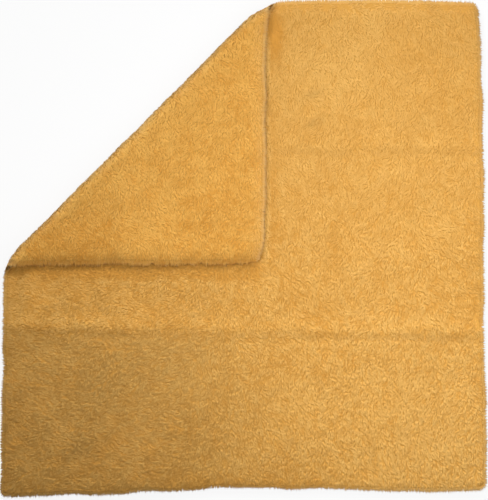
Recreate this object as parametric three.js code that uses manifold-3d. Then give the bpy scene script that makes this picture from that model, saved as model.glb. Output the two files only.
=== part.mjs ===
// A plush microfibre cloth, lying flat with one corner folded over onto its face.
// It is built as its real layers: a ground knit, a pile on the face, a pile on the back and the
// heat-sealed cut edge. Every layer is made for the open cloth and divided where the cloth bends,
// so the corner can swing open. Millimetres, +Z up, the underside lies on Z = 0.
import * as THREE from 'three';
import { mergeVertices } from 'three/addons/utils/BufferGeometryUtils.js';
import Module from 'manifold-3d';

// Outline of the open cloth, over its pile. The hand-laid cloth isn't quite square.
const bottomWidth = 396.5;
const leftLength = 406.3;
const topLeftInset = 2.1;
const topRightInset = 3.3;
const bottomRightRise = 8.2;
const cornerRadius = 5.5;
const foldedCornerRadius = 9;

// Thickness of the layers, and the clearance from one to the next
const knitThickness = 1;
const pileDepth = 3.35;
const layerClearance = 0.3;

// Heat-sealed cut edge, which the pile overhangs
const pileOverhang = 2;
const edgeWidth = 1.2;
const edgeThickness = 0.8;
const edgeClearance = 0.3;

// The pile rounds down to the cut edge, to this share of its depth
const rollWidth = 3.5;
const rollEndShare = 0.3;

// Packing creases pressed into the face pile, measured from the bottom and left edges
const creaseDepth = 0.8;
const creaseHalfWidth = 7;
const lowerCreasePlace = 135;
const upperCreasePlace = 284;
const uprightCreasePlace = 205;

// The fold: its outside lies this far from the folded corner, square to the fold line
const foldDepth = 150.8;
const foldClearance = 0.3;
const jointClearance = 0.3;
const ridgeWidth = 0.8;
const foldHeading = (3 * Math.PI) / 4;
const foldTurn = Math.PI;
const turnCount = 4;

// How far cutting shapes run past what they cut
const cutOverrun = 20;

const wasm = await Module();
wasm.setup();

// Heights above the middle of the knit
const pileFoot = knitThickness / 2 + layerClearance;
const pileTip = pileFoot + pileDepth;

// The bend is four equal turns round a half circle of this radius, a strip's width apart
const hingeTurn = foldTurn / turnCount;
const mitreSlope = Math.tan(hingeTurn / 2);
const bendRadius = pileTip + foldClearance / 2;
const stripWidth = 2 * bendRadius * mitreSlope;
const bendReach = bendRadius + pileTip - stripWidth / 2;
const squareGap = jointClearance / 2;
const mitreGap = squareGap / Math.cos(hingeTurn / 2);
const stripPileTip = (stripWidth - 2 * mitreGap - ridgeWidth) / (2 * mitreSlope);

// Cutting bars reach this far over the cloth and above and below it
const barReach = bottomWidth + leftLength;
const barHeight = pileTip + cutOverrun;

const corners = {
  bottomLeft: new THREE.Vector2(-bottomWidth / 2, -leftLength / 2),
  bottomRight: new THREE.Vector2(bottomWidth / 2, -leftLength / 2 + bottomRightRise),
  topRight: new THREE.Vector2(bottomWidth / 2 - topRightInset, leftLength / 2),
  topLeft: new THREE.Vector2(-bottomWidth / 2 + topLeftInset, leftLength / 2),
};

// Directions in plan: across the fold towards the folded corner, and along the fold
const across = new THREE.Vector3(Math.cos(foldHeading), Math.sin(foldHeading), 0);
const upward = new THREE.Vector3(0, 0, 1);
const along = new THREE.Vector3().crossVectors(across, upward);
const cornerReach = corners.topLeft.x * across.x + corners.topLeft.y * across.y;
const firstHinge = cornerReach - foldDepth - bendReach;

// Pulls a point near a corner of the rectangle in, so that lines parallel to the sides turn there
// in arcs about the corner's centre.
function roundOff(x, y) {
  const isLeft = x < bottomWidth / 2;
  const isTop = y > leftLength / 2;
  const radius = isLeft && isTop ? foldedCornerRadius : cornerRadius;
  const fromSide = radius - (isLeft ? x : bottomWidth - x);
  const fromEnd = radius - (isTop ? leftLength - y : y);
  if (fromSide <= 0 || fromEnd <= 0) return [x, y];
  const pull = Math.max(fromSide, fromEnd) / Math.hypot(fromSide, fromEnd);
  const newSide = radius - fromSide * pull;
  const newEnd = radius - fromEnd * pull;
  return [isLeft ? newSide : bottomWidth - newSide, isTop ? leftLength - newEnd : newEnd];
}

// Place on the open cloth of a point given by its distance from the left and from the bottom side
function clothPoint(x, y) {
  const [roundX, roundY] = roundOff(x, y);
  const shareX = roundX / bottomWidth;
  const shareY = roundY / leftLength;
  const low = corners.bottomLeft.clone().lerp(corners.bottomRight, shareX);
  const high = corners.topLeft.clone().lerp(corners.topRight, shareX);
  return low.lerp(high, shareY);
}

function distanceIn(x, y) {
  return Math.min(x, bottomWidth - x, y, leftLength - y);
}

// A closed slab over a grid of places on the cloth, between two heights given at each place
function gridSlab(columns, rows, lowAt, highAt) {
  const positions = [];
  for (const heightAt of [lowAt, highAt]) {
    for (const y of rows) {
      for (const x of columns) {
        const point = clothPoint(x, y);
        positions.push(point.x, point.y, heightAt(x, y));
      }
    }
  }
  const width = columns.length;
  const layer = width * rows.length;
  const indices = [];
  const addQuad = (a, b, c, d) => indices.push(a, b, c, a, c, d);
  for (let row = 0; row + 1 < rows.length; row += 1) {
    for (let column = 0; column + 1 < width; column += 1) {
      const start = row * width + column;
      addQuad(start, start + width, start + width + 1, start + 1);
      addQuad(layer + start, layer + start + 1, layer + start + width + 1, layer + start + width);
    }
  }
  const rim = [];
  for (let column = 0; column + 1 < width; column += 1) rim.push(column);
  for (let row = 0; row + 1 < rows.length; row += 1) rim.push(row * width + width - 1);
  for (let column = width - 1; column > 0; column -= 1) rim.push(layer - width + column);
  for (let row = rows.length - 1; row > 0; row -= 1) rim.push(row * width);
  rim.forEach((place, step) => {
    const next = rim[(step + 1) % rim.length];
    addQuad(place, next, layer + next, layer + place);
  });
  const geometry = new THREE.BufferGeometry();
  geometry.setAttribute('position', new THREE.Float32BufferAttribute(positions, 3));
  geometry.setIndex(indices);
  return geometry;
}

function toSolid(geometry) {
  const bare = geometry.clone();
  bare.deleteAttribute('normal');
  bare.deleteAttribute('uv');
  const merged = mergeVertices(bare);
  const mesh = new wasm.Mesh({
    numProp: 3,
    vertProperties: new Float32Array(merged.getAttribute('position').array),
    triVerts: new Uint32Array(merged.getIndex().array),
  });
  return new wasm.Manifold(mesh);
}

function toGeometry(solid) {
  const mesh = solid.getMesh();
  const geometry = new THREE.BufferGeometry();
  geometry.setAttribute('position', new THREE.BufferAttribute(mesh.vertProperties, 3));
  geometry.setIndex(new THREE.BufferAttribute(mesh.triVerts, 1));
  return geometry;
}

// Distances from a side, at shares of the way from an inset to the centre of the largest corner
function cornerStations(inset, stepShares) {
  const largest = Math.max(cornerRadius, foldedCornerRadius);
  return stepShares.map((share) => inset + (largest - inset) * share);
}

function bothEnds(stations, length) {
  return [...stations, ...stations.map((station) => length - station).reverse()];
}

// A flat plate of the knit or its edge, with its sides inset from the outline
function flatPlate(inset, thickness) {
  const plateStepShares = [0, 0.4, 1];
  const stations = cornerStations(inset, plateStepShares);
  const columns = bothEnds(stations, bottomWidth);
  const rows = bothEnds(stations, leftLength);
  return toSolid(gridSlab(columns, rows, () => -thickness / 2, () => thickness / 2));
}

// Full depth inside the cloth, rounding down along a quarter ellipse to the cut edge
function rolledDepth(x, y) {
  const inShare = Math.min(distanceIn(x, y) / rollWidth, 1);
  const roundShare = Math.sqrt(1 - (1 - inShare) ** 2);
  return pileDepth * (rollEndShare + (1 - rollEndShare) * roundShare);
}

// A crease is a rounded groove: its depth falls off as a squared cosine over its half width
function grooveDepth(distance) {
  const offShare = Math.min(Math.abs(distance) / creaseHalfWidth, 1);
  return creaseDepth * Math.cos((offShare * Math.PI) / 2) ** 2;
}

function creasedDepth(x, y) {
  const grooves = [y - lowerCreasePlace, y - upperCreasePlace, x - uprightCreasePlace];
  return rolledDepth(x, y) - Math.max(...grooves.map(grooveDepth));
}

// Grid lines for a pile: close together over the rolled edge and over each crease
function pileStations(length, creases) {
  const rollStepShares = [0, 0.12, 0.4];
  const cornerStepShares = [0, 0.5, 1];
  const grooveStepShares = [-1, -0.5, 0, 0.5, 1];
  const roll = rollStepShares.map((share) => rollWidth * share);
  const ends = bothEnds([...roll, ...cornerStations(rollWidth, cornerStepShares)], length);
  const grooves = creases.flatMap((place) => {
    return grooveStepShares.map((share) => place + share * creaseHalfWidth);
  });
  return [...ends, ...grooves].sort((a, b) => a - b);
}

const columns = pileStations(bottomWidth, [uprightCreasePlace]);
const rows = pileStations(leftLength, [lowerCreasePlace, upperCreasePlace]);
const facePile = toSolid(
  gridSlab(columns, rows, () => pileFoot, (x, y) => pileFoot + creasedDepth(x, y)),
);
const backPile = toSolid(
  gridSlab(columns, rows, (x, y) => -pileFoot - rolledDepth(x, y), () => -pileFoot),
);

const edgePlate = flatPlate(pileOverhang, edgeThickness);
const edgeHole = flatPlate(pileOverhang + edgeWidth, edgeThickness + cutOverrun);
const edgeRing = edgePlate.subtract(edgeHole);
const knitPlate = flatPlate(pileOverhang + edgeWidth + edgeClearance, knitThickness);
const knitToEdge = flatPlate(pileOverhang, knitThickness);

// A cutting bar along the fold, from its outline across the fold and in height
function foldBar(outline) {
  const shape = new THREE.Shape(outline.map(([place, height]) => new THREE.Vector2(place, height)));
  const bar = new THREE.ExtrudeGeometry(shape, { depth: 2 * barReach, bevelEnabled: false });
  bar.translate(0, 0, -barReach);
  bar.applyMatrix4(new THREE.Matrix4().makeBasis(across, upward, along));
  return toSolid(bar);
}

// Places across the open cloth of the four hinge lines, and of the middle of the bend
const hingePlaces = [0, 1, 2, 3].map((step) => firstHinge + step * stripWidth);
const lastHinge = hingePlaces[3];
const bendMiddle = (firstHinge + lastHinge) / 2;

// At a hinge line the outside of the bend is cut upright and the inside to a mitre, so that
// neighbours stand apart when the cloth is open and meet along the mitre when it is folded.
const mainBar = foldBar([
  [-barReach, -barHeight],
  [firstHinge - mitreGap, -barHeight],
  [firstHinge - mitreGap, 0],
  [firstHinge - mitreGap - barHeight * mitreSlope, barHeight],
  [-barReach, barHeight],
]);
const cornerBar = foldBar([
  [lastHinge + mitreGap, -barHeight],
  [barReach, -barHeight],
  [barReach, barHeight],
  [lastHinge + mitreGap + barHeight * mitreSlope, barHeight],
  [lastHinge + mitreGap, 0],
]);

// A strip of the bend between two places. At the middle of the bend it is cut square.
function stripBar(start, end) {
  const startSlope = start === bendMiddle ? 0 : mitreSlope;
  const endSlope = end === bendMiddle ? 0 : mitreSlope;
  const low = start + (startSlope ? mitreGap : squareGap);
  const high = end - (endSlope ? mitreGap : squareGap);
  return foldBar([
    [low, -barHeight],
    [high, -barHeight],
    [high, 0],
    [high - stripPileTip * endSlope, stripPileTip],
    [low + stripPileTip * startSlope, stripPileTip],
    [low, 0],
  ]);
}

// A wedge from the cloth's middle out past one side, which picks that side's run of the cut edge.
// It is moved outwards, so that two runs end a clearance apart at the corner that they share.
function sideWedge(from, to) {
  const farShare = 1.5;
  const outward = new THREE.Vector2(to.y - from.y, from.x - to.x).normalize();
  const shift = outward.multiplyScalar(edgeClearance / Math.SQRT2);
  const outline = [
    shift,
    from.clone().multiplyScalar(farShare).add(shift),
    to.clone().multiplyScalar(farShare).add(shift),
  ];
  const wedge = new THREE.ExtrudeGeometry(new THREE.Shape(outline), {
    depth: 2 * barHeight,
    bevelEnabled: false,
  });
  wedge.translate(0, 0, -barHeight);
  return toSolid(wedge);
}

const sideWedges = {
  left: sideWedge(corners.topLeft, corners.bottomLeft),
  bottom: sideWedge(corners.bottomLeft, corners.bottomRight),
  right: sideWedge(corners.bottomRight, corners.topRight),
  top: sideWedge(corners.topRight, corners.topLeft),
};

const facePileFinish = new THREE.MeshStandardMaterial({ color: 0xe2a44a, roughness: 0.95 });
const backPileFinish = new THREE.MeshStandardMaterial({ color: 0xd99a42, roughness: 0.95 });
const knitFinish = new THREE.MeshStandardMaterial({ color: 0xc98a3a, roughness: 0.9 });
const edgeFinish = new THREE.MeshStandardMaterial({ color: 0xe9c98c, roughness: 0.6 });

function addPiece(parent, name, solid, finish) {
  const piece = new THREE.Mesh(toGeometry(solid), finish);
  piece.name = name;
  parent.add(piece);
}

function addLayers(parent, name, bar, knit) {
  addPiece(parent, name + '_ground_knit', knit.intersect(bar), knitFinish);
  addPiece(parent, name + '_face_pile', facePile.intersect(bar), facePileFinish);
  addPiece(parent, name + '_back_pile', backPile.intersect(bar), backPileFinish);
}

function addEdges(parent, name, bar, sides) {
  for (const side of sides) {
    const run = edgeRing.intersect(sideWedges[side]).intersect(bar);
    addPiece(parent, name + '_edge_' + side, run, edgeFinish);
  }
}

// A frame that is turned about a line along the fold, given by its place on the open cloth and its
// height. The shapes put in the frame keep their places on the open cloth.
function turnedFrame(carrier, place, height, turn) {
  const hinge = new THREE.Group();
  hinge.position.copy(across).multiplyScalar(place).addScaledVector(upward, height);
  hinge.setRotationFromAxisAngle(along, turn);
  const portion = new THREE.Group();
  portion.position.copy(hinge.position).negate();
  hinge.add(portion);
  carrier.add(hinge);
  return portion;
}

const group = new THREE.Group();
group.position.z = pileTip;
addLayers(group, 'main', mainBar, knitPlate);
addEdges(group, 'main', mainBar, ['left', 'bottom', 'right', 'top']);

// The main panel carries the first half of the bend
const firstStrip = turnedFrame(group, hingePlaces[0], 0, hingeTurn);
const secondStrip = turnedFrame(firstStrip, hingePlaces[1], 0, hingeTurn);
addLayers(firstStrip, 'bend_1', stripBar(hingePlaces[0], hingePlaces[1]), knitToEdge);
addLayers(secondStrip, 'bend_2', stripBar(hingePlaces[1], bendMiddle), knitToEdge);

// The corner is turned right over and carries the second half
const corner = turnedFrame(group, bendMiddle, bendRadius, foldTurn);
const fourthStrip = turnedFrame(corner, hingePlaces[3], 0, -hingeTurn);
const thirdStrip = turnedFrame(fourthStrip, hingePlaces[2], 0, -hingeTurn);
addLayers(corner, 'corner', cornerBar, knitPlate);
addEdges(corner, 'corner', cornerBar, ['left', 'top']);
addLayers(fourthStrip, 'bend_4', stripBar(hingePlaces[2], hingePlaces[3]), knitToEdge);
addLayers(thirdStrip, 'bend_3', stripBar(bendMiddle, hingePlaces[2]), knitToEdge);

export default group;
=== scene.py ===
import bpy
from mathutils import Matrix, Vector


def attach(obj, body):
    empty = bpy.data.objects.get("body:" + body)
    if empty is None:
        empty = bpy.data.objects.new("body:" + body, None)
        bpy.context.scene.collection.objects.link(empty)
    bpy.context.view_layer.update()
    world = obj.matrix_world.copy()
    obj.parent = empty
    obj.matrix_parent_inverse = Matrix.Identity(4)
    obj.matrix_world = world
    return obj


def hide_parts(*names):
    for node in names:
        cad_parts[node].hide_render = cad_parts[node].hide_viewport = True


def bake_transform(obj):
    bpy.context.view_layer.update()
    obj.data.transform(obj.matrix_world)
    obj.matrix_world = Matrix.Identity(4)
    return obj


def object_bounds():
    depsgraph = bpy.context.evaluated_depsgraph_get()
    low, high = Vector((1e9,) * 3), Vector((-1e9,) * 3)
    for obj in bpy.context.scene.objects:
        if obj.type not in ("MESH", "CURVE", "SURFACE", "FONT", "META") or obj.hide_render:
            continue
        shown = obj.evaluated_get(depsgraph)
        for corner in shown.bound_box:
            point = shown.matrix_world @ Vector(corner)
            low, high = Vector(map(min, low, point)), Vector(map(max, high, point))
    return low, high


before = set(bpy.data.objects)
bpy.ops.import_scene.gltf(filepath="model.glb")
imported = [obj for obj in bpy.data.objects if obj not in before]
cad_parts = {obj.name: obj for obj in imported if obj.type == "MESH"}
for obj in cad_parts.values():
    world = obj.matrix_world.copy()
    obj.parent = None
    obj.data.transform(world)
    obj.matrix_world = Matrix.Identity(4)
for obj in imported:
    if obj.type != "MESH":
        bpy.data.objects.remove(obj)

from types import SimpleNamespace

import bpy
import numpy as np
from mathutils import Vector

cad_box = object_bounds()

# The view: straight down on the cloth from high up, as in the photograph. The picture's height
# covers a known length of the level halfway up the cloth.
picture_height = 0.41
camera_height = 1.5
camera_aside = (0.00105, -0.00065)
sensor_mm = 36


def placed(name, data):
    """A new object in the scene."""
    made = bpy.data.objects.new(name, data)
    bpy.context.collection.objects.link(made)
    return made


camera_data = bpy.data.cameras.new("camera")
camera_data.sensor_width = sensor_mm
camera_data.lens = sensor_mm * camera_height / picture_height
camera = placed("camera", camera_data)
camera.location = (*camera_aside, cad_box[1][2] / 2 + camera_height)
bpy.context.scene.camera = camera
bpy.context.scene.view_settings.view_transform = "Standard"


class Signal:
    """A shader socket that Python's operators work on: each one adds a Math node."""

    def __init__(self, socket):
        self.socket = socket

    def math(self, operation, first, second):
        node = self.socket.id_data.nodes.new("ShaderNodeMath")
        node.operation = operation
        for place, value in zip(node.inputs, (first, second)):
            connect(value, place)
        return Signal(node.outputs[0])

    def __add__(self, other):
        return self.math("ADD", self, other)

    def __sub__(self, other):
        return self.math("SUBTRACT", self, other)

    def __mul__(self, other):
        return self.math("MULTIPLY", self, other)


def connect(value, place):
    """Links a signal to a socket, or sets the socket to a plain value."""
    if isinstance(value, Signal):
        place.id_data.links.new(value.socket, place)
    else:
        place.default_value = value


class Finish:
    """A material with a Principled surface. Its fixed values go straight on the sockets."""

    def __init__(self, name, **fixed):
        self.material = bpy.data.materials.new(name)
        self.material.use_nodes = True
        self.tree = self.material.node_tree
        self.surface = self.tree.nodes["Principled BSDF"]
        self.output = self.tree.nodes["Material Output"]
        for socket, value in fixed.items():
            self.surface.inputs[socket.replace("_", " ").title()].default_value = value

    def node(self, kind, settings, values, output=0):
        """Adds a node with its settings and values, and gives one of its outputs."""
        made = self.tree.nodes.new("ShaderNode" + kind)
        for setting, value in settings.items():
            setattr(made, setting, value)
        for socket, value in values.items():
            connect(value, made.inputs[socket])
        return Signal(made.outputs[output])

    def mixed(self, share, low, high):
        """Mixes two colours by a share from 0 to 1."""
        return self.node("Mix", {"data_type": "RGBA"}, {0: share, 6: low, 7: high}, 2)

    def coloured(self, colour):
        connect(colour, self.surface.inputs["Base Color"])

    def grain(self, scale, detail):
        """Noise over the piece's own coordinates, from 0 to 1."""
        place = self.node("TexCoord", {}, {}, "Object")
        values = {"Vector": place, "Scale": scale, "Detail": detail, "Roughness": 0.6}
        return self.node("TexNoise", {}, values)

    def raised(self, height, distance, strength):
        """Feeds a height from 0 to 1 to the surface's bump."""
        values = {"Height": height, "Distance": distance, "Strength": strength}
        connect(self.node("Bump", {}, values), self.surface.inputs["Normal"])


def grained(name, colours, scale, detail, distance, strength, **fixed):
    """A finish with one grain, which mixes its dark and its light colour and is its bump."""
    finish = Finish(name, **fixed)
    grain = finish.grain(scale, detail)
    finish.coloured(finish.mixed(grain, *colours))
    finish.raised(grain, distance, strength)
    return finish


# The floor is a plain white sheet. Where the camera looks at it, it glows to white, and it still
# takes the cloth's shadow. A low soft lamp over the right half gives the photograph's fall of light
# to the lower left, a far one beyond the top shapes the creases, and the room fills the rest.
floor_half = 3.0
floor_glow_share = 0.88
floor_white = (0.9, 0.9, 0.9, 1)
sky_strength = 0.2
sky_colour = (1, 0.98, 0.95, 1)
# Each lamp's place, aim, size and power
lamps = {
    "pool": ((0.14, -0.02, 0.22), (0.13, -0.03, 0), 0.5, 1.1),
    "key": ((-0.45, 1.1, 0.95), (0, 0, 0), 0.5, 11.3),
}

floor_mesh = bpy.data.meshes.new("floor")
floor_signs = ((-1, -1), (1, -1), (1, 1), (-1, 1))
floor_corners = [(x * floor_half, y * floor_half, 0) for x, y in floor_signs]
floor_mesh.from_pydata(floor_corners, [], [(0, 1, 2, 3)])
floor = placed("floor", floor_mesh)
floor_finish = Finish("floor_white", base_color=floor_white, roughness=0.9)
ray_kinds = ("Is Camera Ray", "Is Glossy Ray", "Is Transmission Ray")
seen, glossy, passed = [floor_finish.node("LightPath", {}, {}, kind) for kind in ray_kinds]
glow = floor_finish.node("Emission", {}, {"Color": (1, 1, 1, 1), "Strength": 1.0})
lit = Signal(floor_finish.surface.outputs[0])
glow_share = (seen + glossy + passed) * floor_glow_share
connect(floor_finish.node("MixShader", {}, {0: glow_share, 1: lit, 2: glow}),
        floor_finish.output.inputs["Surface"])
floor_mesh.materials.append(floor_finish.material)

world = bpy.data.worlds.new("room")
world.use_nodes = True
bpy.context.scene.world = world
background = world.node_tree.nodes["Background"].inputs
background["Color"].default_value = sky_colour
background["Strength"].default_value = sky_strength

for lamp_name, (place, aim, size, power) in lamps.items():
    lamp_data = bpy.data.lights.new(lamp_name, "AREA")
    lamp_data.size = size
    lamp_data.energy = power
    lamp = placed(lamp_name, lamp_data)
    lamp.location = place
    lamp.rotation_euler = (Vector(place) - Vector(aim)).to_track_quat("Z", "Y").to_euler()
    lamp.visible_camera = False

# The ground knit: the thin knitted base of the cloth, one sheet that runs through the fold. It is
# made open and flat, in rows square to the diagonal through the folded corner, and then folded.
bottom_width = 0.3965
left_length = 0.4063
top_left_inset = 0.0021
top_right_inset = 0.0033
bottom_right_rise = 0.0082
corner_radius = 0.0055
folded_corner_radius = 0.003
pile_overhang = 0.002
edge_width = 0.0012
edge_thickness = 0.0008
knit_thickness = 0.001
layer_clearance = 0.0003
pile_depth = 0.00335
pile_foot = knit_thickness / 2 + layer_clearance
pile_tip = pile_foot + pile_depth
fold_depth = 0.1508
fold_clearance = 0.0003
turn_count = 4
arc_steps = 9
strip_rows = 6


def unit(vectors):
    """The vectors, each divided by its length."""
    return vectors / np.linalg.norm(vectors, axis=-1)[..., None]


def turned_left(vectors):
    """Vectors in plan, each a quarter turn to the left."""
    return np.stack([-vectors[:, 1], vectors[:, 0]], axis=1)


corners = np.array([
    (-bottom_width / 2, -left_length / 2),
    (bottom_width / 2, -left_length / 2 + bottom_right_rise),
    (bottom_width / 2 - top_right_inset, left_length / 2),
    (-bottom_width / 2 + top_left_inset, left_length / 2),
])
corner_radii = np.array([corner_radius] * 3 + [folded_corner_radius])
side_runs = unit(np.roll(corners, -1, axis=0) - corners)
side_inwards = turned_left(side_runs)

across = np.array([-1, 1]) / np.sqrt(2)
along = np.array([1, 1]) / np.sqrt(2)
bend_radius = pile_tip + fold_clearance / 2
strip_width = 2 * bend_radius * np.tan(np.pi / turn_count / 2)
bend_start = corners[3] @ across - fold_depth - bend_radius - pile_tip
bend_length = turn_count * strip_width
bend_end = bend_start + bend_length
turn_starts = bend_start + strip_width * np.arange(turn_count + 1)
fold_outside = bend_start + bend_radius + pile_tip

# Packing creases: a place on each one, its heading and its strength
creases = (
    (0.0, -0.0702, -0.012, 1.0),
    (0.0, 0.0797, 0.0, 0.7),
    (0.01, 0.0, -np.pi / 2, 0.3),
)
crease_ridge = 0.0018
crease_ridge_bell = (0.005, 0.0065)
crease_stray = 0.0012
crease_stray_size = 0.03
crease_fade = 0.4
crease_fade_size = 0.05
# Wrinkles left by hand: place, heading, length and height
wrinkles = (
    (0.053, 0.1315, 0.45, 0.02, 0.0008),
    (0.059, 0.109, 0.45, 0.02, 0.0008),
)
wrinkle_width = 0.0034
lift_broad = 0.0007
lift_broad_size = 0.07
lift_small = 0.0008
lift_small_size = 0.022
streak_stretch = 1.8
edge_wave = 0.0009
edge_wave_size = 0.02
# How far each side strays outwards, at even shares of its length, from the near left corner on
side_strays = (
    (0.0012, 0.0002, -0.0002, -0.0018, -0.003, -0.002, -0.0008, 0.0022, 0.0042, 0.003),
    (0.003, 0.0026, 0.0014, 0.0012, 0.0018, 0.002, 0.0022, 0.0018, 0.0002, -0.001),
    (-0.0004, 0.0014, 0.0016, 0.0016, 0.001, 0.0002, 0.0, 0.0, 0.0, 0.0),
    (0.0, 0.0, 0.0, -0.0006, -0.0006, -0.0012, -0.0012, -0.0002, 0.0008, 0.001),
)
stray_depth = 0.05
# At the folded corner the top side is drawn in. The flap's two rims sag, the lower one first. The
# two ends of the fold are drawn in, the lower left one first.
tip_pull = 0.0058
tip_pull_power = 1.1
tip_pull_length = 0.02
tip_pull_depth = 0.045
rim_sags = (0.0034, 0.0024)
rim_sag_width = 0.014
rim_sag_start = 0.012
fold_end_pulls = (0.0021, 0.0035)
fold_end_size = 0.011


def inset_of(places):
    """Distance in from the pile's outline: the least one from a side, or near a rounded corner its
    radius less the distance from its centre."""
    sides = np.stack([(places - c) @ n for c, n in zip(corners, side_inwards)], axis=-1)
    inset = sides.min(axis=-1)
    for corner, radius in enumerate(corner_radii):
        short = np.maximum(radius - sides[..., [corner, corner - 1]], 0)
        inside = (short > 0).all(axis=-1)
        inset = np.where(inside, radius - np.linalg.norm(short, axis=-1), inset)
    return inset


def outline(inset):
    """The cloth's outline drawn in by inset, anticlockwise: an arc round each corner's centre."""
    points = []
    for corner, radius in enumerate(corner_radii):
        before, after = side_inwards[corner - 1], side_inwards[corner]
        cross = before[0] * after[1] - before[1] * after[0]
        centre = corners[corner] + radius * (before + after) / (1 + before @ after)
        turns = np.linspace(0, np.arctan2(cross, before @ after), arc_steps)[:, None]
        out = -before * np.cos(turns) - np.array([-before[1], before[0]]) * np.sin(turns)
        points.append(centre + (radius - inset) * out)
    return np.concatenate(points)


def edge_chains(inset):
    """The outline as two chains from the corner opposite the fold to the folded corner, the right
    one first, both across and along the fold."""
    loop = outline(inset) @ np.stack([across, along], axis=1)
    loop = np.roll(loop, -np.argmin(loop[:, 0]), axis=0)
    far = np.argmax(loop[:, 0])
    return loop[: far + 1], np.concatenate([loop[:1], loop[far:][::-1]])


def steps_between(start, end, step):
    """Even steps from start to end, each about as long as step."""
    return np.linspace(start, end, max(int(round((end - start) / step)), 1) + 1)


def along_chain(chain, step, lines=None):
    """Places at even steps along a chain, whole or between two lines across its first axis."""
    stations = np.concatenate([[0], np.cumsum(np.linalg.norm(np.diff(chain, axis=0), axis=1))])
    ends = stations[[0, -1]] if lines is None else np.interp(lines, chain[:, 0], stations)
    steps = steps_between(*ends, step)
    return np.stack([np.interp(steps, stations, chain[:, axis]) for axis in (0, 1)], axis=1)


def places_on(part, inset, step, rim_steps):
    """Places on one part of the open cloth in rows along the fold, from edge to edge: rim_steps
    from both ends, drawn together in short rows, and even steps between. The bend's rows are
    closer."""
    end_share, most_rim_share = 0.1, 0.25
    right, left = edge_chains(inset)
    starts = [right[0, 0] + end_share * step, *turn_starts]
    ends = [*turn_starts, right[-1, 0] - end_share * step]
    in_bend = 0 < part <= turn_count
    rows = steps_between(starts[part], ends[part], strip_width / strip_rows if in_bend else step)
    low = np.interp(rows, left[:, 0], left[:, 1])[:, None]
    high = np.interp(rows, right[:, 0], right[:, 1])[:, None]
    rim = np.array(rim_steps) * np.minimum((high - low) * most_rim_share / rim_steps[-1], 1)
    shares = np.linspace(0, 1, int((high - low).max() / step))[1:-1]
    middle = (low + rim[:, -1:]) * (1 - shares) + (high - rim[:, -1:]) * shares
    run = np.concatenate([low + rim, middle, high - rim[:, ::-1]], axis=1)
    return rows[:, None, None] * across + run[..., None] * along


def drift(places, size, seed):
    """Smooth noise from -1 to 1: random values on a lattice of cells of the given size, carried
    between them by a smoothstep."""
    lattice_count = 512
    lattice = np.random.default_rng(seed).uniform(-1, 1, (lattice_count, lattice_count))
    at = places / size
    cell = np.floor(at).astype(int)
    x, y = np.moveaxis((at - cell) ** 2 * (3 - 2 * (at - cell)), -1, 0)
    value = 0
    for step_x, share_x in ((0, 1 - x), (1, x)):
        for step_y, share_y in ((0, 1 - y), (1, y)):
            index = (cell + (step_x, step_y)) % lattice_count
            value = value + share_x * share_y * lattice[index[..., 0], index[..., 1]]
    return value


def crease_offsets(places):
    """Distances from each packing crease, above it or to its right, with a little stray."""
    stray = crease_stray * drift(places, crease_stray_size, seed=75)
    offsets = []
    for x, y, heading, _ in creases:
        aside = (places[..., 1] - y) * np.cos(heading) - (places[..., 0] - x) * np.sin(heading)
        offsets.append(aside + stray)
    return offsets


def side_crossing(first, second):
    """Where the outside of the fold meets one side of the cloth, across and along the fold."""
    low, high = corners[[first, second]] @ np.stack([across, along], axis=1)
    share = (fold_outside - low[0]) / (high[0] - low[0])
    return fold_outside, low[1] * (1 - share) + high[1] * share


fold_ends = (side_crossing(0, 3), side_crossing(2, 3))


def swell(distance, place, half_width):
    """A bell over a distance: the exponential of minus the square."""
    return np.exp(-(((distance - place) / half_width) ** 2))


def patch(places, x, y, heading, half_length, half_width):
    """A long bell round a place: a bell along a heading times one across it."""
    off_x, off_y = places[..., 0] - x, places[..., 1] - y
    ahead = off_x * np.cos(heading) + off_y * np.sin(heading)
    aside = off_y * np.cos(heading) - off_x * np.sin(heading)
    return swell(ahead, 0, half_length) * swell(aside, 0, half_width)


def pulled(places):
    """The open cloth as it was laid by hand: its sides wander a little, and the top side near the
    folded corner is drawn in."""
    wave = [edge_wave * drift(places, edge_wave_size, seed) for seed in (61, 62)]
    from_left = places[..., 0] - corners[3, 0]
    from_top = left_length / 2 - places[..., 1]
    near = np.clip(1 - from_left / tip_pull_length, 0, 1) ** tip_pull_power
    near = near * np.clip(1 - from_top / tip_pull_depth, 0, 1)
    moved = places + np.stack(wave, axis=-1)
    moved[..., 1] -= tip_pull * near
    for corner, strays in enumerate(side_strays):
        from_corner = places - corners[corner]
        length = (corners[(corner + 1) % len(corners)] - corners[corner]) @ side_runs[corner]
        share = from_corner @ side_runs[corner] / length
        stray = np.interp(share, np.linspace(0, 1, len(strays)), strays)
        depth = from_corner @ side_inwards[corner]
        stray = stray * np.clip(1 - depth / stray_depth, 0, 1) ** 2
        moved -= stray[..., None] * side_inwards[corner]
    return moved


def lift(plan, places):
    """How far the folded cloth stands off the floor: broad soft waves, slanting streaks, a ridge
    along the upper side of each packing crease, and the wrinkles."""
    streaks = np.stack([plan @ along / streak_stretch, plan @ across], axis=-1)
    broad = lift_broad * (1 + drift(plan, lift_broad_size, seed=71))
    height = broad + lift_small * (1 + drift(streaks, lift_small_size, seed=72))
    fade = 1 + crease_fade * drift(places, crease_fade_size, seed=73)
    for (*_, strength), offset in zip(creases, crease_offsets(places)):
        height = height + crease_ridge * strength * fade * swell(offset, *crease_ridge_bell)
    for x, y, heading, length, rise in wrinkles:
        height = height + rise * patch(places, x, y, heading, length / 2, wrinkle_width)
    return height


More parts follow.
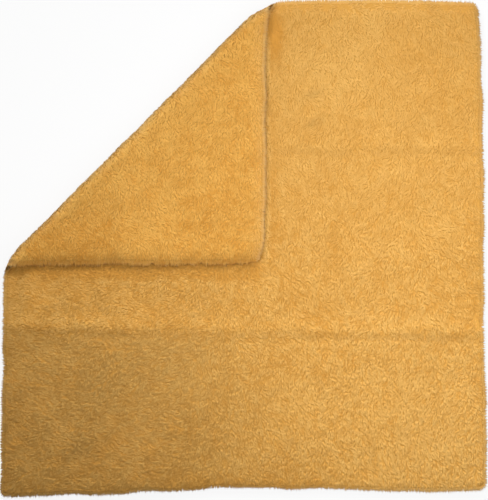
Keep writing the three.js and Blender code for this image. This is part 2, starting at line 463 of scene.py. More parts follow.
def folded(points):
    """Takes places on the open cloth, with heights over the middle of the knit, to the folded
    cloth: up to the bend they stay, in it they go round its centre line, and past it they run back
    upside down, and the rim sags. The fold's ends are drawn in, and all of it is lifted."""
    places = pulled(points[..., :2])
    place = places @ across
    run = places @ along
    turn = np.clip((place - bend_start) / bend_length, 0, 1) * np.pi
    past = np.maximum(place - bend_end, 0)
    reach = bend_radius - points[..., 2]
    place = np.minimum(place, bend_start) + reach * np.sin(turn) - past
    height = pile_tip + bend_radius - reach * np.cos(turn)
    for end, pull in zip(fold_ends, fold_end_pulls):
        gone = np.hypot(place - end[0], run - end[1])
        place = place - pull * swell(gone, 0, fold_end_size)
    plan = place[..., None] * across + run[..., None] * along
    for sag, side in zip(rim_sags, (3, 2)):
        inset = (points[..., :2] - corners[side]) @ side_inwards[side]
        sag_share = np.clip(1 - inset / rim_sag_width, 0, 1) ** 2
        height = height - sag * sag_share * np.clip(past / rim_sag_start, 0, 1)
    height = height + lift(plan, points[..., :2])
    return np.concatenate([plan, height[..., None]], axis=-1)


def with_height(places, height=0.0):
    """Places on the open cloth with a height over the middle of the knit."""
    heights = np.broadcast_to(height, places.shape[:-1])
    return np.concatenate([places, heights[..., None]], axis=-1)


def new_piece(name, points, faces, finish):
    """A smooth mesh object from points and triangles or quads."""
    mesh = bpy.data.meshes.new(name)
    size = faces.shape[1]
    mesh.vertices.add(len(points))
    mesh.vertices.foreach_set("co", points.astype(np.float32).ravel())
    mesh.loops.add(faces.size)
    mesh.loops.foreach_set("vertex_index", faces.astype(np.int32).ravel())
    mesh.polygons.add(len(faces))
    mesh.polygons.foreach_set("loop_start", np.arange(0, faces.size, size, dtype=np.int32))
    mesh.polygons.foreach_set("use_smooth", np.ones(len(faces), bool))
    mesh.update(calc_edges=True)
    mesh.materials.append(finish.material)
    piece = placed(name, mesh)
    return piece


def slab(name, places, low, high, finish):
    """A closed, folded sheet over a grid of places on the open cloth, between two heights: the
    upper grid, the lower one turned over, and a wall round the rim."""
    rows, columns = places.shape[:2]
    points = folded(np.stack([with_height(places, high), with_height(places, low)]))
    grid = np.arange(rows * columns).reshape(rows, columns)
    quads = np.stack([grid[:-1, :-1], grid[:-1, 1:], grid[1:, 1:], grid[1:, :-1]], axis=-1)
    quads = quads.reshape(-1, 4)
    rim = np.concatenate([grid[0, :-1], grid[:-1, -1], grid[-1, :0:-1], grid[:0:-1, 0]])
    after = np.roll(rim, -1)
    below = rows * columns
    walls = np.stack([rim + below, after + below, after, rim], axis=-1)
    faces = np.concatenate([quads, quads[:, ::-1] + below, walls])
    return new_piece(name, points.reshape(-1, 3), faces, finish)


# Each turn of the bend lies between two bodies. The bend is open at its middle.
bend_bodies = (
    ("main_panel", "bend_1"),
    ("bend_1", "bend_2"),
    ("bend_3", "bend_4"),
    ("bend_4", "corner_flap"),
)


def carry(piece, part):
    """Lets a piece move with the main panel, part 0, or the corner, part 5. A piece of the bend,
    parts 1 to 4, only has its place baked into its mesh and moves with neither body."""
    if part == 0:
        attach(piece, "main_panel")
    elif part > turn_count:
        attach(piece, "corner_flap")
    else:
        ends = with_height(turn_starts[part - 1 : part + 1, None] * across)
        start, end = folded(ends).tolist()
        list(bend_bodies[part - 1])
        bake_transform(piece)


part_names = ["main"] + ["bend_%d" % (turn + 1) for turn in range(turn_count)] + ["corner"]


knit_step = 0.007
knit_rim = (0, 0.004)
knit_inset = pile_overhang + edge_width
knit_colours = ((0.42, 0.19, 0.035, 1), (0.62, 0.31, 0.07, 1))
knit_finish = grained("knit", knit_colours, scale=1500, detail=2, distance=0.0002, strength=0.6,
                      roughness=0.9)

knits = []
for part, part_name in enumerate(part_names):
    places = places_on(part, knit_inset, knit_step, knit_rim)
    piece = slab("ground_knit_" + part_name, places, -knit_thickness / 2, knit_thickness / 2,
                 knit_finish)
    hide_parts(part_name + "_ground_knit")
    carry(piece, part)
    knits.append(piece)

# The sealed edge: where the cloth was cut with heat, its fibres are fused into a thin pale bead
# along the knit. It stays inside the overhanging pile, and thins and thickens a little.
bead_step = 0.0011
bead_sides = 8
bead_inset = pile_overhang + edge_width / 2
bead_wave = 0.004
bead_wave_share = 0.22
bead_colours = ((0.7, 0.42, 0.13, 1), (0.86, 0.62, 0.3, 1))
bead_finish = grained("sealed_edge", bead_colours, scale=900, detail=3, distance=0.0002,
                      strength=0.5, roughness=0.5, coat_weight=0.1, coat_roughness=0.4)


def bead(runs):
    """Points and faces of capped tubes along runs of places: an ellipse of points round each
    place, square to the run, joined to the next one."""
    angles = np.arange(bead_sides) / bead_sides * 2 * np.pi
    all_points, all_faces, count = [], [], 0
    for run in runs:
        inward = turned_left(unit(np.gradient(run, axis=0)))
        wave = 1 + bead_wave_share * drift(run, bead_wave, seed=3)
        side = np.cos(angles) * edge_width / 2 * wave[:, None]
        height = np.sin(angles) * edge_thickness / 2 * wave[:, None]
        places = run[:, None] + inward[:, None] * side[..., None]
        all_points.append(with_height(places, height).reshape(-1, 3))
        rings = np.arange(len(run) * bead_sides).reshape(-1, bead_sides) + count
        low, high = rings[:-1], rings[1:]
        walls = np.stack([low, np.roll(low, -1, 1), np.roll(high, -1, 1), high], axis=-1)
        caps = np.array([(0, 1, 2, 3), (0, 3, 4, 7), (4, 5, 6, 7)])
        all_faces += [walls.reshape(-1, 4), rings[0][caps][:, ::-1], rings[-1][caps]]
        count += rings.size
    return np.concatenate(all_points), np.concatenate(all_faces)


beads = []
bead_chains = edge_chains(bead_inset)
bead_lines = [bead_chains[0][0, 0], *turn_starts, bead_chains[0][-1, 0]]
for part, part_name in enumerate(part_names):
    lines = bead_lines[part : part + 2]
    right_run, left_run = [
        along_chain(chain, bead_step, lines) @ np.stack([across, along]) for chain in bead_chains
    ]
    left_run = left_run[::-1]
    if part == 0:
        runs = [np.concatenate([left_run, right_run[1:]])]
    elif part > turn_count:
        runs = [np.concatenate([right_run, left_run[1:]])]
    else:
        runs = [right_run, left_run]
    points, faces = bead(runs)
    piece = new_piece("sealed_edge_" + part_name, folded(points), faces, bead_finish)
    carry(piece, part)
    beads.append(piece)
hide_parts("main_edge_left", "main_edge_bottom", "main_edge_right", "main_edge_top")
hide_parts("corner_edge_left", "corner_edge_top")

# The foot of the pile: on both faces of the knit the fibres stand so close near their roots that
# they make a solid bed. It rounds down to the cut edge, and packing creases are pressed into it.
foot_share = 0.6
bend_foot_share = 0.3
foot_step = 0.0045
foot_rim = (0, 0.001, 0.0025, 0.005)
roll_width = 0.008
roll_end_share = 0.3
crease_depth = 0.0004
crease_half_width = 0.007
crease_groove_place = -0.003
# A dent beside the folded corner: place, heading, half length, half width and depth
dent_place = (0.026, 0.18, 1.6, 0.017, 0.0068)
dent_depth = 0.0024
# The foot is darker than the tips: painted shade deep in the pile.
foot_colours = ((0.58, 0.28, 0.045, 1), (0.74, 0.38, 0.07, 1))
foot_finish = grained("pile_foot", foot_colours, scale=1300, detail=3, distance=0.0004,
                      strength=0.7, roughness=0.95)


def depth_of_pile(places, side):
    """Depth of the brushed pile: full inside the cloth and a quarter ellipse down to the cut edge.
    The face has a squared cosine groove along each crease, and the dent."""
    in_share = np.clip(inset_of(places) / roll_width, 0, 1)
    round_share = np.sqrt(1 - (1 - in_share) ** 2)
    depth = pile_depth * (roll_end_share + (1 - roll_end_share) * round_share)
    if side < 0:
        return depth
    for (*_, strength), offset in zip(creases, crease_offsets(places)):
        off_share = np.minimum(np.abs(offset - crease_groove_place) / crease_half_width, 1)
        depth = depth - crease_depth * strength * np.cos(off_share * np.pi / 2) ** 2
    return depth - dent_depth * patch(places, *dent_place)


side_names = {1: "face", -1: "back"}
feet = []
for side, side_name in side_names.items():
    for part, part_name in enumerate(part_names):
        places = places_on(part, knit_inset, foot_step, foot_rim)
        share = bend_foot_share if side > 0 and 0 < part <= turn_count else foot_share
        top = side * (pile_foot + share * depth_of_pile(places, side))
        floor_of_foot = side * pile_foot
        low, high = (floor_of_foot, top) if side > 0 else (top, floor_of_foot)
        slot = side_name + "_pile"
        name = side_name + "_pile_foot_" + part_name
        piece = slab(name, places, low, high, foot_finish)
        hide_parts(part_name + "_" + slot)
        carry(piece, part)
        feet.append(piece)

# The tufts: brushed locks of microfibre that lean over one another and make the plush surface.
# Each is a thin, slightly bent spindle with three sides. Its root is in the foot of the pile.
tuft_half_width = 0.00046
tuft_half_depth = 0.0003
tuft_root = 0.0013
tuft_length = 0.0036
tuft_length_spread = 0.25
tuft_sides = 3
tuft_vertices = tuft_sides + 2
middle_run_share = 0.42
middle_rise_share = 0.72
least_middle_rise = 0.0022
curl_spread = 0.00018
root_inset = knit_inset + 0.0002
close_spacing = 0.00088
wide_spacing = 0.0018
hidden_spacing = 0.0013
bend_spacing = 0.0007
rim_spacing = 0.0003
rim_depth = 0.0009
scatter_share = 0.4
most_tufts = 31000
tiny = 1e-6

# How they are brushed: the nap and its swirls by size and strength, the clumps, and how rough the
# pile is towards the near side
nap_turn = (-0.02, 0.1)
nap_swirls = ((0.055, 0.45), (0.024, 0.55), (0.006, 0.85))
heading_spread = 0.16
rough_heading_spread = 0.7
rise_spread = (-0.0003, 0.0002)
clump_size = 0.0021
clump_pull = 0.18
rough_clump_pull = 0.3
rim_clump_pull = 0.3
clump_rise = 0.0002
rough_clump_rise = 0.0004
rough_start, rough_end = -0.16, 0.1
back_roughness = 0.7

# At the cut edge, for the flap's right side, its lower side and the rest: how much longer tufts
# are, how far they reach past the edge, how that spreads, how pale the rim is, and how far in
edge_extras = (0.0006, 0.0022, 0.0006)
edge_reaches = (0.001, 0.0016, 0.0016)
edge_reach_spreads = (0.0007, 0.0014, 0.0004)
edge_pale_shares = (0.6, 0.1, 0.35)
edge_fades = (0.0024, 0.0013, 0.0013)
under_rim_reach = 0.0006
tuft_reach_spread = 0.0002
flap_low_reach_wave = 0.0022
flap_low_wave_size = 0.006
rim_lean = 1.6
rim_lean_width = 0.0022
rim_droop_share = 0.9
rim_wisp = 0.6
flap_low_wisp = 0.7

# In the bend: how far the face's and the back's tufts reach past its two ends, a pale line of
# painted light and the loose tips along its outside, how much longer the inner tufts are and how
# much shorter the outer ones run, and how high tips may stand in the fold, under the flap and on
# the back
bend_middle = (bend_start + bend_end) / 2
bend_bell_width = bend_length / 3
fold_end_reaches = {1: 0.00125, -1: 0.0025}
bend_painted_light_share = 0.75
bend_painted_light_width = 0.003
bend_fringe = 0.0012
bend_tuck = 0.0012
bend_stretch = 0.5
outer_run_cut = 0.5
bend_tip = 0.0029
hidden_tip = 0.004
hidden_margin = 0.006
back_tip = hidden_tip + 0.0001

# The pile is pressed down where the flap's edge lies on it.
press_depth = 0.0016
press_side_share = 0.25
press_bell = (0.0004, 0.0012)
press_rim_width = 0.01

# How the shading turns from each tuft's own surface to the cloth's
soft_share = 0.6
facing_tip_share = 0.6
least_facing = 0.1
steep_facing = (0.3, 0.6)
level_facing = (0.1, 0.6)
under_turn_share = 0.9
upper_turn_share = 0.15
inner_facing_drop = 0.75

# Tone runs from 0, dark, to 1, light, and carries painted shade and light as well as random
# tone. Drifts of it are given as size, strength and seed.
tone_middle = 0.55
clump_tone = 0.3
tuft_tone = 0.16
rough_tuft_tone = 0.24
tone_drifts = ((0.018, 0.12, 41), (0.05, 0.1, 47))
mottle = 0.12
rough_mottle = 0.22
mottle_size = 0.0045
ring_along_share = 0.55
# Patches of painted shade in the tone, as in the recess at the fold's upper end, beside the
# flap's right edge and along the near rim, and with an amount below nought patches of painted
# light, as towards the lower right and along the fold: place, heading, half length, half width
# and amount
painted_light_and_shade_patches = (
    (-0.155, 0.01, 0.0, 0.05, 0.035, 0.18),
    (0.024, 0.182, 0.0, 0.006, 0.011, 0.9),
    (0.027, 0.17, 0.0, 0.008, 0.022, 0.62),
    (0.021, 0.08, 0.0, 0.006, 0.09, 0.25),
    (0.155, -0.15, 0.0, 0.06, 0.06, -0.36),
    (0.072, 0.15, 0.0, 0.055, 0.06, -0.28),
    (0.07, 0.012, 0.0, 0.11, 0.032, 0.13),
    (-0.09, -0.04, 0.0, 0.06, 0.012, 0.18),
    (-0.01, -0.193, 0.0, 0.06, 0.01, 0.6),
    (-0.09, 0.09, 0.785, 0.085, 0.016, -0.3),
)
# Spots of painted shade, mixed towards a darker colour: two soft dark patches at the lower left
# and a shadow below each wrinkle, given in the same way
painted_shade_spots = (
    (-0.134, -0.164, 0.5, 0.014, 0.007, 0.3),
    (-0.12, -0.111, 0.2, 0.016, 0.006, 0.2),
    (0.0555, 0.128, 0.45, 0.008, 0.003, 0.3),
    (0.0605, 0.1052, 0.45, 0.008, 0.003, 0.3),
)
# Below the lowest packing crease the left part gets painted shade, where the light falls off,
# from and to these distances
painted_shade_step = 0.4
painted_shade_edge = (-0.002, 0.004)
painted_shade_fade = (-0.06, 0.08)
# Round the flap, painted into the tone: a painted shadow below it, painted light just beside
# its right edge against the shade there, and painted shade along its own lower side
below_flap_painted_shadow = 0.6
below_flap_ends = (0.007, 0.014)
below_flap_sides = (-0.012, 0.0)
beside_flap_painted_light = 0.7
beside_flap_width = 0.0025
beside_flap_ends = (-0.01, 0.0)
flap_low_painted_shade = 0.22
flap_low_painted_shade_width = 0.006

# Colours of each side: dark and light tips, and roots, which are darker as painted shade deep in
# the pile. Then that of the pale cut rim, also used for painted light along the fold's outside,
# and that of the painted shade.
pile_colours = {
    "face": ((0.72, 0.335, 0.046, 1), (0.95, 0.57, 0.155, 1), (0.7, 0.335, 0.05, 1)),
    "back": ((0.75, 0.332, 0.038, 1), (0.98, 0.563, 0.126, 1), (0.72, 0.33, 0.044, 1)),
}
# The pale cut rim's colour, also used for painted light along the fold's outside.
pile_rim_and_fold_light_colour = (0.88, 0.62, 0.27, 1)
pile_painted_shade_colour = (0.5, 0.275, 0.062, 1)
pile_sheen = (1, 0.86, 0.6, 1)
fibre_tone = 0.4
pile_finishes = {}
for side_name, (dark_colour, light_colour, root_colour) in pile_colours.items():
    pile_finish = Finish(side_name + "_pile", roughness=0.9, sheen_weight=0.08,
                         sheen_roughness=0.5, sheen_tint=pile_sheen)
    tone, along_share, rim, painted_shade = [
        pile_finish.node("Attribute", {"attribute_name": name}, {}, "Fac")
        for name in ("tone", "along", "rim", "painted_shade")
    ]
    fibre = pile_finish.grain(scale=2200, detail=2)
    tip_colour = pile_finish.mixed(tone + (fibre - 0.5) * fibre_tone, dark_colour, light_colour)
    tip_colour = pile_finish.mixed(rim, tip_colour, pile_rim_and_fold_light_colour)
    # The roots are darker: painted shade deep in the pile.
    pile_colour = pile_finish.mixed(along_share, root_colour, tip_colour)
    # Painted shade mixes the colour towards a darker one of the same hue.
    pile_finish.coloured(pile_finish.mixed(painted_shade, pile_colour, pile_painted_shade_colour))
    pile_finish.raised(fibre, distance=0.0002, strength=0.35)
    pile_finishes[side_name] = pile_finish


def tuft_faces():
    """The faces of one tuft and their places on its square of the texture map. Each side has a
    column of the square, from the root at the bottom to the tip at the top."""
    gap, root_level, middle_level, tip_level = 0.04, 0.04, 0.5, 0.96
    root, tip = tuft_sides, tuft_sides + 1
    faces, charts = [], []
    for side in range(tuft_sides):
        after = (side + 1) % tuft_sides
        left, right = side / tuft_sides + gap, (side + 1) / tuft_sides - gap
        centre = (left + right) / 2
        middle = ((left, middle_level), (right, middle_level))
        faces += [(root, after, side), (side, after, tip)]
        charts += [((centre, root_level), middle[1], middle[0]), (*middle, (centre, tip_level))]
    return np.array(faces), np.array(charts)


def scattered(spacing, seed):
    """Places all over the open cloth in a triangular pattern, each moved by a random share."""
    reach = np.abs(corners).max() + spacing
    lines = np.arange(-reach, reach, spacing * np.sqrt(3) / 2)
    steps = np.arange(-reach, reach, spacing)
    x, y = np.meshgrid(steps, lines)
    x = x + spacing / 2 * (np.arange(len(lines)) % 2)[:, None]
    places = np.stack([x, y], axis=-1).reshape(-1, 2)
    rng = np.random.default_rng(seed)
    places = places + rng.uniform(-scatter_share, scatter_share, places.shape) * spacing
    return places[inset_of(places) > root_inset]


def clump_of(places, seed):
    """The nearest clump's centre for each place, and its random number from 0 to 1. Clumps are
    points placed at random in square cells, one in each."""
    count = 1024
    rng = np.random.default_rng(seed)
    shift, luck = rng.uniform(0, 1, (count, count, 2)), rng.uniform(0, 1, (count, count))
    cell = np.floor(places / clump_size).astype(int)
    best = np.full(len(places), np.inf)
    centre, number = np.zeros_like(places), np.zeros(len(places))
    for step_x in (-1, 0, 1):
        for step_y in (-1, 0, 1):
            near = cell + (step_x, step_y)
            index = near % count
            point = (near + shift[index[:, 0], index[:, 1]]) * clump_size
            distance = np.linalg.norm(point - places, axis=1)
            closer = distance < best
            best = np.where(closer, distance, best)
            centre[closer] = point[closer]
            number[closer] = luck[index[:, 0], index[:, 1]][closer]
    return centre, number


def smooth_share(value, start, end):
    """A smoothstep from 0 at start to 1 at end."""
    share = np.clip((value - start) / (end - start), 0, 1)
    return share * share * (3 - 2 * share)


def outwards(places):
    """The direction square to the outline and out of the cloth: down the slope of the inset."""
    step, least_slope = 0.0002, 0.00002
    slope = [inset_of(places + move) - inset_of(places - move) for move in np.eye(2) * step]
    out = -np.stack(slope, axis=-1)
    return out / np.maximum(np.linalg.norm(out, axis=-1), least_slope)[..., None]


def nap_heading(places, side):
    """The way the pile was last brushed. The face lies towards the near side, and in the left
    half towards the left. The back lies towards the left. Both swirl."""
    turn_left = smooth_share(-places[:, 0], *nap_turn) if side > 0 else 1.0
    angle = -np.pi / 2 - turn_left * np.pi / 2
    for step, (size, strength) in enumerate(nap_swirls):
        angle = angle + strength * drift(places, size, seed=11 + 5 * side + step)
    return angle


def roughness(places, side):
    """How rough the pile is, from 0 to 1: smooth at the far side, tousled at the near side."""
    if side < 0:
        return np.full(len(places), back_roughness)
    return smooth_share(-places[:, 1], rough_start, rough_end)


def flap_gaps(places):
    """How far a place on the main panel lies below the flap's lower edge and to the right of its
    right edge: the distances of its mirror image over the fold from two sides of the cloth."""
    mirrored = places + (bend_start + bend_end - 2 * places @ across)[:, None] * across
    return [-((mirrored - corners[side]) @ side_inwards[side]) for side in (3, 2)]


def under_flap(places):
    """How far in from the flap's edge a place on the main panel lies, below nought outside it."""
    return -np.max(flap_gaps(places), axis=0)


def along_rim(seed):
    """Places close together just inside the sealed edge, all the way round the cloth."""
    rng = np.random.default_rng(seed)
    loop = outline(root_inset)
    places = along_chain(np.concatenate([loop, loop[:1]]), rim_spacing)[:-1]
    return places - outwards(places) * rng.uniform(0, rim_depth, len(places))[:, None]


def survey(roots, side):
    """What decides how tufts lie: each root's clump and its number, how rough the pile is, how
    near the cut edge is and which way, and where the root is on the fold."""
    clump, number = clump_of(roots, 7 + side)
    inset, out = inset_of(roots), outwards(roots)
    place_across = roots @ across
    past_bend = place_across > bend_end
    turned = place_across > bend_middle
    return SimpleNamespace(
        roots=roots, side=side, count=len(roots), clump=clump, number=number, inset=inset, out=out,
        rough=roughness(roots, side),
        outward=np.exp(-(inset - root_inset) / rim_lean_width),
        across=place_across,
        over_bend=swell(place_across, bend_middle, bend_bell_width),
        turned=turned,
        faces_up=turned == (side < 0),
        on_flap_side=past_bend & (out @ along > 0),
        on_flap_low=past_bend & (out @ along <= 0),
    )


def by_edge(at, values):
    """For each tuft one of three values: for the flap's right side, its lower side or the rest."""
    return np.select([at.on_flap_side, at.on_flap_low], list(values[:2]), values[2])


def tuft_runs(at, rng):
    """Each tuft's heading, and its run in plan from root to tip. It leans along the nap, drawn
    together with its clump, and near the cut edge it leans outwards over it, but not too far."""
    angle = nap_heading(at.clump, at.side) + rng.normal(0, heading_spread, at.count)
    angle = angle + (at.number - 0.5) * rough_heading_spread * at.rough
    heading = np.stack([np.cos(angle), np.sin(angle)], axis=1)
    heading = heading * (1 - at.outward)[:, None] + at.out * at.outward[:, None] * rim_lean
    heading = unit(heading)
    length = tuft_length * (1 + rng.uniform(-1, 1, at.count) * tuft_length_spread)
    end_reach = fold_end_reaches[at.side] * swell(at.across, bend_middle, fold_end_size)
    end_reach = end_reach * at.faces_up
    length = length + at.outward * (by_edge(at, edge_extras) + end_reach)
    if at.side > 0:
        length = length * (1 + bend_stretch * at.over_bend)
    towards = at.clump - at.roots
    towards = towards - at.out * ((towards * at.out).sum(axis=1) * at.outward)[:, None]
    pull = (clump_pull + rough_clump_pull * at.rough) * (1 - at.outward)
    pull = pull + rim_clump_pull * at.outward
    run = heading * length[:, None] + towards * pull[:, None]
    if at.side < 0:
        shorter = outer_run_cut * at.over_bend
        run = run - ((run @ across) * shorter)[:, None] * across
    reach = np.where(at.faces_up, by_edge(at, edge_reaches), under_rim_reach) + end_reach
    limit = by_edge(at, edge_reach_spreads) * (1 - 2 * at.number) - reach
    limit = limit + rng.normal(0, tuft_reach_spread, at.count)
    wave = flap_low_reach_wave * drift(at.roots, flap_low_wave_size, seed=57)
    limit = limit + wave * at.on_flap_low
    tip_inset = inset_of(at.roots + run)
    inside_share = (at.inset - limit) / np.maximum(at.inset - tip_inset, tiny)
    return heading, run * np.where(tip_inset < limit, inside_share, 1)[:, None]


def tip_rises(at, tip, rng):
    """Heights of the tips over the middle of the knit: at the top of the pile, a little up or down
    with the clump, pressed down beside the flap, and drooping at the cut edge."""
    rise = pile_foot + depth_of_pile(tip, at.side) + rng.uniform(*rise_spread, at.count)
    rise = rise + (at.number - 0.5) * 2 * (clump_rise + rough_clump_rise * at.rough)
    if at.side > 0:
        low_gap, side_gap = flap_gaps(tip)
        gap = np.maximum(low_gap, side_gap)
        press = np.where(side_gap > low_gap, press_side_share, 1) * press_depth
        press = press * np.clip(at.inset / press_rim_width, 0, 1)
        rise = rise - press * swell(gap, *press_bell) * (gap > 0)
    else:
        fringe = bend_fringe * rng.uniform(0, 1, at.count) ** 2
        rise = rise + at.over_bend * np.where(at.turned, fringe, -bend_tuck)
    low_share = rng.uniform(0, rim_droop_share, at.count) * at.outward
    rise = np.maximum(rise * (1 - low_share) + pile_foot * low_share, pile_foot)
    return rise if at.side > 0 else np.minimum(rise, back_tip)


def tuft_colours(at, rng):
    """Each tuft's tone, with painted shade and light in it, how much of the pale cut rim's colour
    it has, and how much painted shade it has.
    """
    tone = tone_middle + (at.number - 0.5) * clump_tone
    tone = tone + rng.uniform(-1, 1, at.count) * (tuft_tone + rough_tuft_tone * at.rough)
    for size, strength, seed in tone_drifts:
        tone = tone + strength * drift(at.roots, size, seed + at.side)
    spots = drift(at.roots, mottle_size, seed=53 + at.side)
    tone = tone + (mottle + rough_mottle * at.rough) * spots
    wisp = rng.uniform(-1, 1, at.count)
    tone = tone + flap_low_wisp * wisp * at.outward * at.on_flap_low
    plan = folded(with_height(at.roots))[:, :2]
    # Patches of painted shade and painted light in the tone.
    for *place, amount in painted_light_and_shade_patches:
        tone = tone - amount * patch(plan, *place)
    # Spots of painted shade.
    painted_shade = sum(amount * patch(plan, *place) for *place, amount in painted_shade_spots)
    if at.side > 0:
        # A painted shadow below the flap, and painted light beside its right edge.
        low_gap, side_gap = flap_gaps(at.roots)
        under = 1 - smooth_share(low_gap, *below_flap_ends)
        under = under * np.clip(at.inset / press_rim_width, 0, 1)
        tone = tone - below_flap_painted_shadow * under * (1 - smooth_share(side_gap, *below_flap_sides))
        beside = swell(side_gap, 0, beside_flap_width)
        beside = beside * (1 - smooth_share(low_gap, *beside_flap_ends))
        tone = tone + beside_flap_painted_light * beside
        # Painted shade below the lowest crease on the left, where the light falls off.
        below = smooth_share(-crease_offsets(at.roots)[0], *painted_shade_edge)
        painted_shade = painted_shade + painted_shade_step * below * smooth_share(-at.roots[:, 0], *painted_shade_fade)
    else:
        # Painted shade along the flap's own lower side.
        tone = tone - flap_low_painted_shade * at.on_flap_low * np.exp(-at.inset / flap_low_painted_shade_width)
    rim = np.exp(-(at.inset - root_inset) / by_edge(at, edge_fades))
    rim = by_edge(at, edge_pale_shares) * rim * (1 + rim_wisp * wisp)
    # A pale line of painted light along the fold's outside.
    if at.side < 0:
        rim = rim + bend_painted_light_share * swell(at.across, bend_middle, bend_painted_light_width)
    return {"tone": tone, "rim": rim, "painted_shade": painted_shade}


def comb(roots, side, seed):
    """Lays tufts over: gives each one's root, middle, tip and colour values, how far it leans out
    over the cut edge, and its roll about its length."""
    rng = np.random.default_rng(seed)
    at = survey(roots, side)
    heading, run = tuft_runs(at, rng)
    rise = tip_rises(at, roots + run, rng)
    curl = rng.normal(0, curl_spread, at.count)[:, None]
    middle = roots + run * middle_run_share + turned_left(heading) * curl
    middle_rise = tuft_root + (np.maximum(rise, least_middle_rise) - tuft_root) * middle_rise_share
    return {
        **tuft_colours(at, rng),
        "root": with_height(roots, tuft_root),
        "middle": with_height(middle, middle_rise),
        "tip": with_height(roots + run, rise),
        "lean": at.outward,
        "roll": rng.uniform(0, 2 * np.pi, at.count),
    }


def tuft_points(locks):
    """Five points for each tuft: a flattened ring of three round its middle, square to the way on
    to the tip, then its root and its tip."""
    onward = unit(locks["tip"] - locks["root"])
    plan = onward[:, :2] / np.maximum(np.linalg.norm(onward[:, :2], axis=1), tiny)[:, None]
    sideways = with_height(turned_left(plan))
    down = np.cross(sideways, onward)
    points = []
    for step in range(tuft_sides):
        angle = locks["roll"] - step * 2 * np.pi / tuft_sides
        wide = tuft_half_width * np.cos(angle)[:, None] * sideways
        points.append(locks["middle"] + wide + tuft_half_depth * np.sin(angle)[:, None] * down)
    return np.stack([*points, locks["root"], locks["tip"]], axis=1)


def pile_facing(places, side):
    """The direction square to the top of the folded pile, from steps along both axes. Places
    outside the cloth take the rim's, and inside the bend, where the top comes together in a line,
    it is taken low in the pile."""
    step, rim_inset = 0.0004, 0.0004
    places = places + outwards(places) * np.minimum(inset_of(places) - rim_inset, 0)[:, None]
    level = np.full(len(places), float(side))
    if side > 0:
        from_bend = np.abs(places @ across - bend_middle) - bend_length / 2
        level = 1 - inner_facing_drop * smooth_share(-from_bend, -tuft_length / 2, tuft_length / 2)
    tops = []
    for move in ((0, 0), (step, 0), (0, step)):
        moved = places + move
        top = level * (pile_foot + depth_of_pile(moved, side))
        tops.append(folded(with_height(moved, top)))
    return unit(np.cross(tops[1] - tops[0], tops[2] - tops[0]) * side)


def soften(mesh, locks, side):
    """Light scatters softly in the pile, so the shading turns part of the way from each tuft's own
    surface to that of the cloth, which at the cut edge itself turns towards the tuft's run."""
    count = len(locks["tone"])
    own = np.empty(count * tuft_vertices * 3, np.float32)
    mesh.vertex_normals.foreach_get("vector", own)
    middle = locks["root"] * (1 - facing_tip_share) + locks["tip"] * facing_tip_share
    cloth = pile_facing(middle[:, :2], side)
    if side < 0:
        steep = smooth_share(np.linalg.norm(cloth[:, :2], axis=1), *steep_facing)
        cloth[:, 2] = np.maximum(cloth[:, 2], least_facing * steep - (1 - steep))
        cloth = unit(cloth)
    way = unit(folded(locks["tip"] * (1, 1, side)) - folded(locks["root"] * (1, 1, side)))
    turn = np.where(cloth[:, 2] < 0, under_turn_share, upper_turn_share) * locks["lean"]
    cloth = cloth + (way - cloth) * turn[:, None]
    level = smooth_share(np.abs(cloth[:, 2]), *level_facing)
    share = (soft_share * np.maximum(level, 1 - locks["lean"]))[:, None, None]
    soft = own.reshape(count, tuft_vertices, 3) * (1 - share) + cloth[:, None] * share
    mesh.normals_split_custom_set_from_vertices(unit(soft).reshape(-1, 3))


def tuft_piece(name, locks, side):
    """One folded mesh of many tufts, with each tuft's colour values, the distance along it and its
    own square of the texture map."""
    count = len(locks["tone"])
    points = tuft_points(locks)
    points[..., 2] *= side
    faces, charts = tuft_faces()
    faces, charts = faces[:, ::side], charts[:, ::side]
    all_faces = faces + np.arange(count)[:, None, None] * tuft_vertices
    piece = new_piece(name, folded(points).reshape(-1, 3), all_faces.reshape(-1, 3),
                      pile_finishes[side_names[side]])
    mesh = piece.data
    values = {"along": np.tile([ring_along_share] * tuft_sides + [0.0, 1.0], count)}
    for attribute in ("tone", "rim", "painted_shade"):
        values[attribute] = np.repeat(locks[attribute], tuft_vertices)
    for attribute, value in values.items():
        layer = mesh.attributes.new(attribute, "FLOAT", "POINT")
        layer.data.foreach_set("value", value.astype(np.float32))
    squares = int(np.ceil(np.sqrt(count)))
    square = np.stack([np.arange(count) % squares, np.arange(count) // squares], axis=1)
    atlas = (square[:, None, None] + charts) / squares
    mesh.uv_layers.new(name="OFBake").data.foreach_set("uv", atlas.astype(np.float32).ravel())
    soften(mesh, locks, side)
    return piece


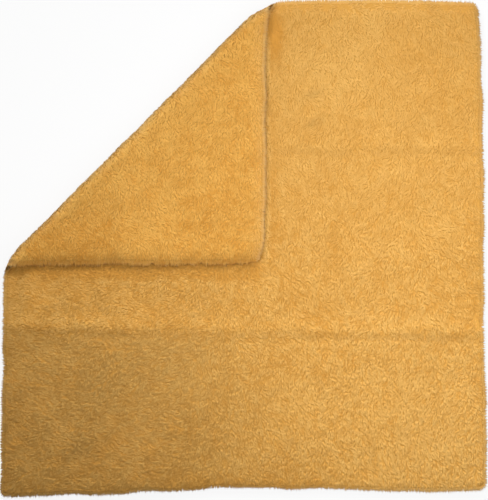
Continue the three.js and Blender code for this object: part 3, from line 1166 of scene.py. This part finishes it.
tufts = []
for side, side_name in side_names.items():
    close = scattered(close_spacing, 101 + side)
    wide = scattered(hidden_spacing if side > 0 else wide_spacing, 103 + side)
    in_bend = scattered(bend_spacing, 105 + side)
    close_place, wide_place, bend_place = close @ across, wide @ across, in_bend @ across
    if side > 0:
        main_roots = np.concatenate([
            close[(close_place < bend_start) & (under_flap(close) < hidden_margin)],
            wide[(wide_place < bend_start) & (under_flap(wide) >= hidden_margin)],
        ])
        corner_roots = wide[wide_place > bend_end]
    else:
        main_roots = wide[wide_place < bend_start]
        corner_roots = close[close_place > bend_end]
    roots = np.concatenate([
        main_roots,
        in_bend[(bend_place >= bend_start) & (bend_place <= bend_end)],
        corner_roots,
        along_rim(109 + side),
    ])
    locks = comb(roots, side, 107 + side)
    root_place = roots @ across
    if side > 0:
        hidden = (under_flap(roots) > hidden_margin) | (root_place > bend_start)
        locks["tip"][hidden, 2] = np.minimum(locks["tip"][hidden, 2], hidden_tip)
        in_fold = np.abs(root_place - bend_middle) < bend_length / 2
        for level in ("tip", "middle"):
            locks[level][in_fold, 2] = np.minimum(locks[level][in_fold, 2], bend_tip)
    part_of = np.searchsorted(turn_starts, root_place, side="right")
    slot = side_name + "_pile"
    for part, part_name in enumerate(part_names):
        mine = np.flatnonzero(part_of == part)
        bands = int(np.ceil(len(mine) / most_tufts))
        order = mine[np.argsort(roots[mine, 1], kind="stable")]
        for band, chosen in enumerate(np.array_split(order, bands)):
            name = side_name + "_tufts_" + part_name
            if bands > 1:
                name += "_%d" % (band + 1)
            picked = {key: value[chosen] for key, value in locks.items()}
            piece = tuft_piece(name, picked, side)
            carry(piece, part)
            tufts.append(piece)

# The cloth is one sheet with its pile and edge on it. Its pieces are sorted into those on the
# main panel and those on the corner, and the corner's side is taken at the size of the open knit.
corner_side = (edge_chains(knit_inset)[0][-1, 0] - bend_end) * np.sqrt(2)
on_corner = [piece for piece in beads + feet + tufts if "_corner" in piece.name]
on_main = [piece for piece in knits[1:-1] + beads + feet + tufts if piece not in on_corner]
